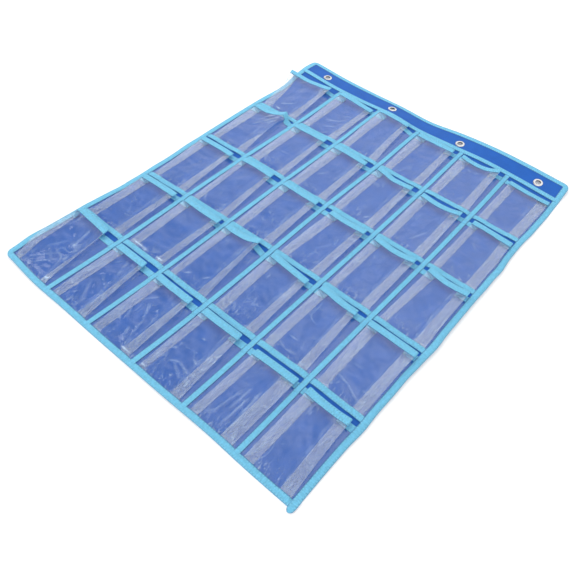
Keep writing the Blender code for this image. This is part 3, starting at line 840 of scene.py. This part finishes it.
def cloth(name, low, high, floor, node):
    """A flat piece of woven cloth with a clear hole under each grommet."""
    columns = int((high[0] - low[0]) / CLOTH_SPACING)
    rows = int((high[1] - low[1]) / CLOTH_SPACING)
    x, y = np.meshgrid(np.linspace(low[0], high[0], columns), np.linspace(low[1], high[1], rows))
    inside = CORNER_RADIUS - 1 * MM
    dx, dy = np.abs(x) - HALF_WIDTH + CORNER_RADIUS, np.abs(y) - TOP + CORNER_RADIUS
    away = np.maximum(np.hypot(dx, dy), inside)
    pull = np.where((dx > 0) & (dy > 0), inside / away - 1, 0)
    x, y = x + np.sign(x) * dx * pull, y + np.sign(y) * dy * pull
    both = np.concatenate([lie(np.stack([x, y, np.full(x.shape, level)], -1))
                           for level in (floor, floor + CLOTH)])
    keep = np.ones((rows - 1, columns - 1), bool)
    middle_x, middle_y = (x[:-1, :-1] + x[1:, 1:]) / 2, (y[:-1, :-1] + y[1:, 1:]) / 2
    for gx, gy in grommet_places():
        keep &= np.hypot(middle_x - gx, middle_y - gy) > CLOTH_HOLE
    count = rows * columns
    faces = []
    for i, j in np.argwhere(keep).tolist():
        a = i * columns + j
        faces.append((a + count, a + 1 + count, a + columns + 1 + count, a + columns + count))
        faces.append((a + columns, a + columns + 1, a + 1, a))
    edges = [(b, a) for face in faces[1::2] for a, b in zip(face, face[1:] + face[:1])]
    one_sided = set(edges) - {(b, a) for a, b in edges}
    faces += [(a, b, b + count, a + count) for a, b in sorted(one_sided)]
    flat_uv = uv_pairs(x, y)
    made = made_mesh(name, both, faces, np.concatenate([flat_uv, flat_uv]), cloth_material)
    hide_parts(node)


def turned(name, profile, place, node):
    """A metal ring turned from a closed profile of radii and heights, set square on the sheet."""
    place = np.array([*place, 0.0])
    probe = lie(np.stack([place, place + (1 * MM, 0, 0), place + (0, 1 * MM, 0)]))
    right = Vector(probe[1] - probe[0]).normalized()
    out = right.cross(Vector(probe[2] - probe[0])).normalized()
    turn = Matrix((right, out.cross(right), out)).transposed()
    points = []
    for i in range(GROMMET_SIDES):
        angle = 2 * math.pi * i / GROMMET_SIDES
        for radius, height in profile:
            local = Vector((radius * math.cos(angle), radius * math.sin(angle), height))
            points.append(Vector(probe[0]) + turn @ local)
    rings = np.array(points).reshape(GROMMET_SIDES, len(profile), 3)
    # the barrel's inside carries painted shade
    barrel = np.array([radius < GROMMET_BORE + 0.2 * MM for radius, _ in profile])
    made = swept(name, [(rings[::-1], np.zeros((*rings.shape[:2], 2)), barrel)], metal, True, 60)
    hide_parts(node)


def grommet(number, place):
    """A two-part metal grommet: domed eyelet in front, washer and rolled lip behind."""
    face, foot = FACE + CLOTH + 0.25 * MM, 0.5 * MM
    front = [(GROMMET_BORE + out * MM, face + up * MM) for out, up in EYELET]
    front = [(front[0][0], foot), *front, (front[-1][0], foot)]
    turned(f"grommet_{number}_front", front, place, f"grommet_{number}_eyelet")
    back = [(GROMMET_BORE + out * MM, up * MM) for out, up in WASHER]
    turned(f"grommet_{number}_ring", back, place, f"grommet_{number}_washer")


class Nodes:
    """The node tree of a material or world, with short calls for the nodes used here."""

    def __init__(self, owner, output="ShaderNodeOutputMaterial"):
        owner.use_nodes = True
        self.owner, self.tree = owner, owner.node_tree
        self.tree.nodes.clear()
        self.out = self.add(output)

    def add(self, kind, inputs=None, **settings):
        node = self.tree.nodes.new(kind)
        for key, value in settings.items():
            setattr(node, key, value)
        for key, value in (inputs or {}).items():
            if isinstance(value, bpy.types.NodeSocket):
                self.tree.links.new(value, node.inputs[key])
            else:
                node.inputs[key].default_value = value
        return node

    def math(self, operation, *values, clamp=False):
        inputs = dict(enumerate(values))
        return self.add("ShaderNodeMath", inputs, operation=operation, use_clamp=clamp).outputs[0]

    def times(self, a, b):
        return self.math("MULTIPLY", a, b)

    def total(self, first, *others, clamp=False):
        for value in others:
            first = self.math("ADD", first, value, clamp=clamp)
        return first

    def wave(self, place, pitch):
        return self.math("SINE", self.times(place, 2 * math.pi / pitch))

    def mapped(self, value, low, high, to_low, to_high, **settings):
        inputs = {0: value, 1: low, 2: high, 3: to_low, 4: to_high}
        return self.add("ShaderNodeMapRange", inputs, **settings).outputs[0]

    def mix(self, share, a, b):
        """Colour a, or b to the given share."""
        return self.add("ShaderNodeMix", {0: share, 6: a, 7: b}, data_type="RGBA").outputs[2]

    def noise(self, place, scale, detail, distortion=0.0):
        inputs = {"Vector": place, "Scale": scale, "Detail": detail, "Distortion": distortion}
        return self.add("ShaderNodeTexNoise", inputs).outputs[0]

    def scaled(self, place, scales):
        return self.add("ShaderNodeVectorMath", {0: place, 1: scales}, operation="MULTIPLY").outputs[0]

    def bump(self, height, strength, distance):
        inputs = {"Height": height, "Strength": strength, "Distance": distance}
        return self.add("ShaderNodeBump", inputs).outputs[0]

    def uv(self):
        """The place on the flat piece, and its two parts, in metres."""
        place = self.add("ShaderNodeUVMap", uv_map="flat").outputs[0]
        split = self.add("ShaderNodeSeparateXYZ", {0: place}).outputs
        return place, split[0], split[1]

    def mark(self, name):
        """A mark that the mesh carries on its points."""
        return self.add("ShaderNodeAttribute", attribute_name=name).outputs["Fac"]

    def finished(self, shader):
        self.tree.links.new(shader.outputs[0], self.out.inputs["Surface"])
        return self.owner


def tinted(colour, factor):
    return tuple(min(1, c * factor) for c in colour[:3]) + (1,)


def make_cloth():
    """Plain-woven blue polyester, slightly uneven in colour."""
    n = Nodes(bpy.data.materials.new("woven_blue_cloth"))
    place, u, v = n.uv()
    weave = n.times(n.wave(u, WEAVE_PITCH), n.wave(v, WEAVE_PITCH))
    cloudy, fibre = n.noise(place, 38, 4), n.noise(place, 420, 3)
    share = n.total(n.mapped(weave, -1, 1, 0, 0.35), n.mapped(cloudy, 0.3, 0.7, 0, 0.35),
                    n.mapped(fibre, 0.3, 0.7, 0, 0.3), clamp=True)
    height = n.total(n.mapped(weave, -1, 1, 0, 1), n.times(fibre, 0.5))
    return n.finished(n.add("ShaderNodeBsdfPrincipled", {
        "Base Color": n.mix(share, tinted(CLOTH_BLUE, 0.8), tinted(CLOTH_BLUE, 1.2)),
        "Roughness": 0.75, "Specular IOR Level": 0.5, "Sheen Weight": 0.15,
        "Sheen Roughness": 0.4, "Normal": n.bump(height, 0.25, 0.2 * MM)}))


def make_tape():
    """Ribbed woven binding tape with a row of stitches near each edge, and painted shade along its
    edges.
    """
    n = Nodes(bpy.data.materials.new("ribbed_binding_tape"))
    place, u, v = n.uv()
    rib, cord = n.wave(u, RIB_PITCH), n.wave(v, CORD_PITCH)
    woven = n.times(n.mapped(rib, -1, 1, 0.2, 1), n.mapped(cord, -1, 1, 0.5, 1))
    from_line = n.math("ABSOLUTE", n.math("SUBTRACT", n.math("ABSOLUTE", v), STITCH_LINE))
    on_line = n.mapped(from_line, 0.5 * MM, 1.0 * MM, 1, 0)
    dash = n.math("LESS_THAN", n.math("FRACT", n.times(u, 1 / STITCH_PITCH)), STITCH_SHARE)
    thread, hole = n.times(on_line, dash), n.times(on_line, n.math("SUBTRACT", 1.0, dash))
    cloudy = n.mapped(n.noise(place, 230, 3), 0.3, 0.7, 0, 0.55)
    share = n.total(n.times(woven, 0.45), cloudy, clamp=True)
    colour = n.mix(share, tinted(TAPE_TEAL, 0.76), tinted(TAPE_TEAL, 1.2))
    colour = n.mix(n.times(thread, 0.3), colour, THREAD_TEAL)
    colour = n.mix(n.times(hole, 0.55), colour, tinted(TAPE_TEAL, 0.5))
    # painted shade along the edges, where the dark mark lies
    colour = n.mix(n.mapped(n.mark("dark"), 0.1, 0.9, 0, 0.85), colour, EDGE_SHADE_BLUE)
    height = n.total(woven, n.times(thread, 1.5))
    return n.finished(n.add("ShaderNodeBsdfPrincipled", {
        "Base Color": colour, "Roughness": 0.65, "Specular IOR Level": 0.3,
        "Sheen Weight": 0.1, "Normal": n.bump(height, 0.5, 0.3 * MM)}))


def film_creases(n, place, moved, crease):
    """Broken lines where the film has been folded sharply, 0 to 1; besides bumping it, they lighten it
    as painted highlight.
    """
    lines = 0.0
    for scale, share in ((14.0, 1.0), (33.0, 0.8)):
        away = n.math("ABSOLUTE", n.math("SUBTRACT", n.noise(moved, scale, 1.5, 1.1), 0.5))
        lines = n.math("MAXIMUM", n.mapped(away, 0, scale * 0.8 * MM, share, 0), lines)
    shown = n.total(n.noise(place, 29, 2), n.times(crease, 0.12))
    return n.times(lines, n.mapped(shown, 0.54, 0.66, 0, 1))


def make_film():
    """Clear soft vinyl: it mirrors by its angle on both faces, and carries haze and creases, with
    painted highlights along the creases and ridges.
    """
    n = Nodes(bpy.data.materials.new("clear_vinyl_film"))
    place = n.uv()[0]
    crease, folded, hem, ridge = n.mark("crease"), n.mark("folded"), n.mark("hem"), n.mark("ridge")
    moved = n.scaled(place, (1.5, 0.75, 1.0))
    wide, crinkle = n.noise(moved, 30, 2), n.noise(moved, 150, 4, 1.2)
    streaks = n.noise(n.scaled(place, (480.0, 9.0, 1.0)), 1, 4)
    strokes = n.noise(n.scaled(place, (170.0, 38.0, 1.0)), 1, 3, 0.8)
    lines = film_creases(n, place, moved, crease)

    height = n.total(n.times(lines, n.math("SUBTRACT", 0.5, crease)),
                     n.times(wide, n.mapped(crease, 0, 1, 1.0, 2.6)),
                     n.times(streaks, n.mapped(folded, 0, 1, 0.25, 1.2)),
                     n.times(strokes, n.mapped(folded, 0, 1, 0, 2.0)),
                     n.times(crinkle, n.mapped(hem, 0, 1, 0.1, 1.3)))
    normal = n.bump(height, 0.5, 0.6 * MM)

    streaked = n.total(n.mapped(streaks, 0.48, 0.62, 0, 0.08), n.mapped(strokes, 0.5, 0.64, 0, 0.14))
    crumpled = n.times(folded, n.mapped(crease, 0.2, 0.5, 0, 0.6))
    # haze; its last two terms are painted highlights along the crease lines and ridges
    haze_and_glints = n.total(n.mapped(n.noise(place, 24, 5), 0.35, 0.75, 0.015, 0.045),
                   n.times(folded, streaked),
                   n.times(n.math("MAXIMUM", hem, crumpled), n.mapped(crinkle, 0.52, 0.7, 0, 0.45)),
                   n.times(lines, n.mapped(crease, 0.2, 1, 0.15, 0.42)),
                   n.times(ridge, 0.28))
    clear = n.add("ShaderNodeBsdfTransparent", {"Color": FILM_TINT}).outputs[0]
    haze_and_glint_white = n.add("ShaderNodeBsdfDiffuse", {"Color": HAZE_AND_GLINT_BLUE}).outputs[0]
    body = n.add("ShaderNodeMixShader", {0: haze_and_glints, 1: clear, 2: haze_and_glint_white}).outputs[0]

    behind = n.add("ShaderNodeNewGeometry").outputs["Backfacing"]
    ior = n.mapped(behind, 0, 1, FILM_IOR, 1 / FILM_IOR)
    one_face = n.add("ShaderNodeFresnel", {"IOR": ior, "Normal": normal}).outputs[0]
    both_faces = n.math("DIVIDE", n.times(one_face, 2.0), n.total(one_face, 1.0))
    mirror = n.add("ShaderNodeBsdfGlossy", {"Color": WHITE, "Roughness": 0.1, "Normal": normal})
    return n.finished(n.add("ShaderNodeMixShader", {0: both_faces, 1: body, 2: mirror.outputs[0]}))


def make_metal():
    """Polished nickel plate with fine wear, and painted shade inside the barrel."""
    n = Nodes(bpy.data.materials.new("nickel_plate"))
    wear = n.noise(n.add("ShaderNodeTexCoord").outputs["Object"], 700, 4)
    # painted shade inside the barrel
    colour = n.mix(n.mapped(n.mark("dark"), 0.3, 1, 0, 1), NICKEL, BARREL_SHADE_GREY)
    return n.finished(n.add("ShaderNodeBsdfPrincipled", {
        "Base Color": colour, "Roughness": n.mapped(wear, 0.3, 0.75, 0.16, 0.34),
        "Metallic": 1.0, "Normal": n.bump(wear, 0.08, 0.2 * MM)}))


def make_floor():
    """White ground that shows as white and keeps the object's shadow."""
    n = Nodes(bpy.data.materials.new("white_ground"))
    path = n.add("ShaderNodeLightPath").outputs
    seen = n.math("MAXIMUM", path["Is Camera Ray"], path["Is Glossy Ray"])
    seen = n.math("MAXIMUM", seen, path["Is Transmission Ray"])
    white = n.add("ShaderNodeBsdfDiffuse", {"Color": GROUND_WHITE}).outputs[0]
    strength = n.times(seen, GROUND_GLOW)
    glow = n.add("ShaderNodeEmission", {"Color": WHITE, "Strength": strength}).outputs[0]
    return n.finished(n.add("ShaderNodeAddShader", {0: white, 1: glow}))


def add_floor():
    mesh = bpy.data.meshes.new("ground")
    corners = [(x * GROUND_SIZE, y * GROUND_SIZE, GROUND_LEVEL)
               for x, y in ((-1, -1), (1, -1), (1, 1), (-1, 1))]
    mesh.from_pydata(corners, [], [(0, 1, 2, 3)])
    ground = bpy.data.objects.new("ground", mesh)
    ground.data.materials.append(make_floor())
    bpy.context.scene.collection.objects.link(ground)


def add_light(name, place, size, power, mirrored):
    """A square light that points at the middle of the sheet."""
    data = bpy.data.lights.new(name, "AREA")
    data.size, data.energy = size, power
    light = bpy.data.objects.new(name, data)
    light.location = place
    light.visible_glossy = mirrored
    light.rotation_euler = (-Vector(place)).to_track_quat("-Z", "Y").to_euler()
    bpy.context.scene.collection.objects.link(light)


def add_world():
    """A white surround, darker in front and brighter overhead for what glossy surfaces mirror."""
    n = Nodes(bpy.data.worlds.new("studio"), "ShaderNodeOutputWorld")
    path = n.add("ShaderNodeLightPath").outputs
    direction = n.add("ShaderNodeTexCoord").outputs["Generated"]
    split = n.add("ShaderNodeSeparateXYZ", {0: direction}).outputs
    towards = n.add("ShaderNodeVectorMath", {0: direction, 1: BRIGHT_SIDE}, operation="DOT_PRODUCT")
    smooth = {"interpolation_type": "SMOOTHSTEP"}
    mirrored = n.mapped(split["Y"], 0.05, 0.6, 0.4, 1.04, **smooth)
    overhead = n.mapped(split["Z"], 0.76, 0.86, 0, 0.5, **smooth)
    right = n.mapped(split["X"], -0.5, -0.3, 0, 1)
    mirrored = n.math("MULTIPLY_ADD", overhead, right, mirrored)
    lit = n.mapped(towards.outputs["Value"], -1, 1, 0.55 * WORLD_LIGHT, 1.45 * WORLD_LIGHT)
    seen = n.math("MAXIMUM", path["Is Camera Ray"], path["Is Transmission Ray"])
    strength = n.mapped(seen, 0, 1, n.mapped(path["Is Glossy Ray"], 0, 1, lit, mirrored), 1.0)
    background = n.add("ShaderNodeBackground", {"Color": WHITE, "Strength": strength})
    bpy.context.scene.world = n.finished(background)


def add_camera():
    """The photograph's view, from the front right."""
    data = bpy.data.cameras.new("camera")
    data.lens, data.sensor_width = CAMERA_LENS, 36
    camera = bpy.data.objects.new("camera", data)
    look = (Vector(CAMERA_AIM) - Vector(CAMERA_PLACE)).to_track_quat("-Z", "Y").to_matrix()
    roll = Matrix.Rotation(math.radians(CAMERA_ROLL), 3, "Z")
    camera.matrix_world = Matrix.Translation(CAMERA_PLACE) @ (look @ roll).to_4x4()
    data.clip_start, data.clip_end = 0.01, 50
    bpy.context.scene.collection.objects.link(camera)
    bpy.context.scene.camera = camera


cloth_material = make_cloth()
tape_material = make_tape()
clear_film = make_film()
metal = make_metal()

right, top = HALF_WIDTH - CLOTH_INSET, TOP - CLOTH_INSET
cloth("sheet_cloth", (-right, BOTTOM + CLOTH_INSET), (right, top), BACK_FLOOR, "back_panel")
cloth("header_cloth", (-right, HEADER_LINE), (right, top), FACE + 0.2 * MM, "header_band")
edge_binding()
header_tape()
for row in range(1, ROWS + 1):
    pocket_strip(row)
    mouth_binding(row)
    if row < ROWS:
        row_tape(row)
for number in range(1, COLUMNS):
    column_tape(number)
for number, place in enumerate(grommet_places(), start=1):
    grommet(number, place)

add_floor()
add_world()
for light in LIGHTS:
    add_light(*light)
add_camera()
bpy.context.scene.view_settings.view_transform = "Standard"
